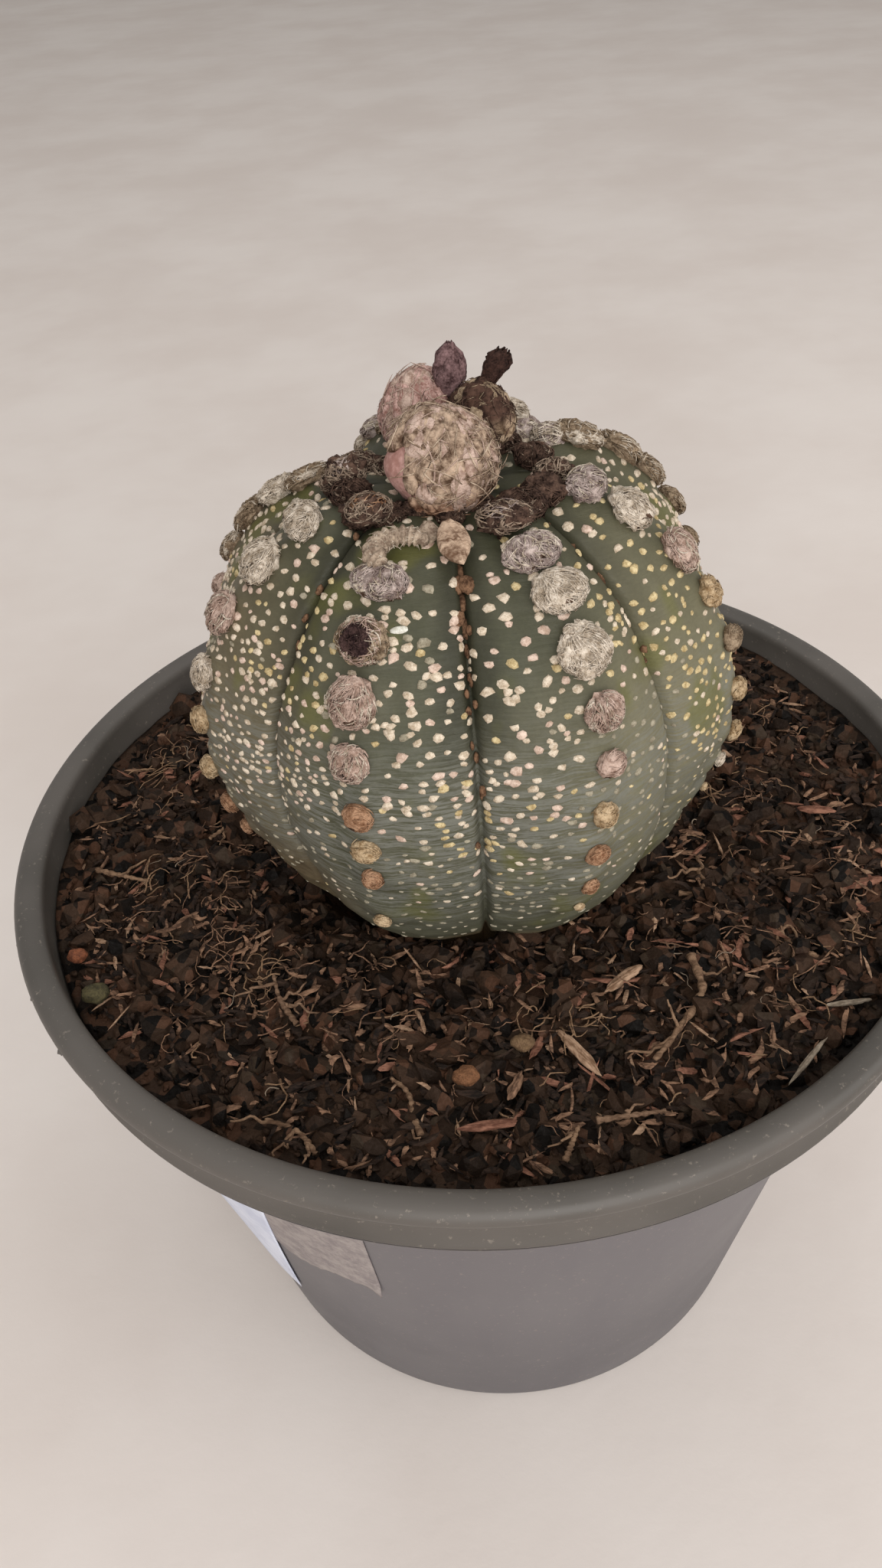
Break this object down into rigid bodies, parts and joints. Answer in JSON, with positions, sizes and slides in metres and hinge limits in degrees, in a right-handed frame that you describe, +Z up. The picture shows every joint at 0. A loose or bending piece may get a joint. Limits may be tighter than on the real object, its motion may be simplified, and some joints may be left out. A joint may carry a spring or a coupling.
{
  "type": "potted astrophytum star cactus",
  "caption": "Round ribbed star cactus with woolly areoles, fruits and dried flower stubs at its crown, in a tapered plastic nursery pot filled with bark and peat soil.",
  "frame": {"origin": "centre of the pot's base, on the surface the pot stands on", "axes": "+Z up along the pot's axis; -Y is the side the fruits lean to and the stickers are near; +X is to the right seen from that side"},
  "size_m": [0.15, 0.15, 0.1769],
  "materials": {
    "pot_plastic": "satin moulded plastic, charcoal grey",
    "soil": "loose peat and bark",
    "cactus_skin": "matt waxy skin with woolly flecks",
    "fruit_skin": "woolly, scaly",
    "fruit_wool_pink": "woolly",
    "fruit_wool_dark": "woolly, dried",
    "remnant_mauve": "dried petals",
    "remnant_dark": "dried petals",
    "dried_bud": "dry and fibrous",
    "twig": "rough",
    "chip": "rough bark",
    "sliver": "weathered",
    "pebble": "matt",
    "label_grey": "torn sticker residue, blank",
    "label_white": "smooth, blank"
  },
  "bodies": {
    "root": {"pot": "pot_plastic", "soil": "soil", "cactus_stem": "cactus_skin", "fruit_front": "fruit_skin", "fruit_left": "fruit_wool_pink", "fruit_right": "fruit_wool_dark", "flower_remnant_left": "remnant_mauve", "flower_remnant_right": "remnant_dark", "label_grey": "label_grey", "label_white": "label_white", "chip_back_right": "chip", "chip_by_stem": "chip", "chip_left": "chip", "chip_right": "chip", "chip_slant": "chip", "chip_small": "chip", "chip_spindle": "chip", "dried_bud_back_left": "dried_bud", "dried_bud_curl": "dried_bud", "dried_bud_front": "dried_bud", "dried_bud_left": "dried_bud", "dried_bud_right": "dried_bud", "pebble_brown": "pebble", "pebble_green": "pebble", "pebble_orange": "pebble", "pebble_tan": "pebble", "sliver_grey": "sliver", "sliver_white": "sliver", "twig_arc": "twig", "twig_back": "twig", "twig_bent": "twig", "twig_curly": "twig", "twig_fork": "twig", "twig_front": "twig", "twig_left": "twig", "twig_pale": "twig", "twig_root": "twig", "twig_rootlet": "twig"}
  },
  "joints": []
}
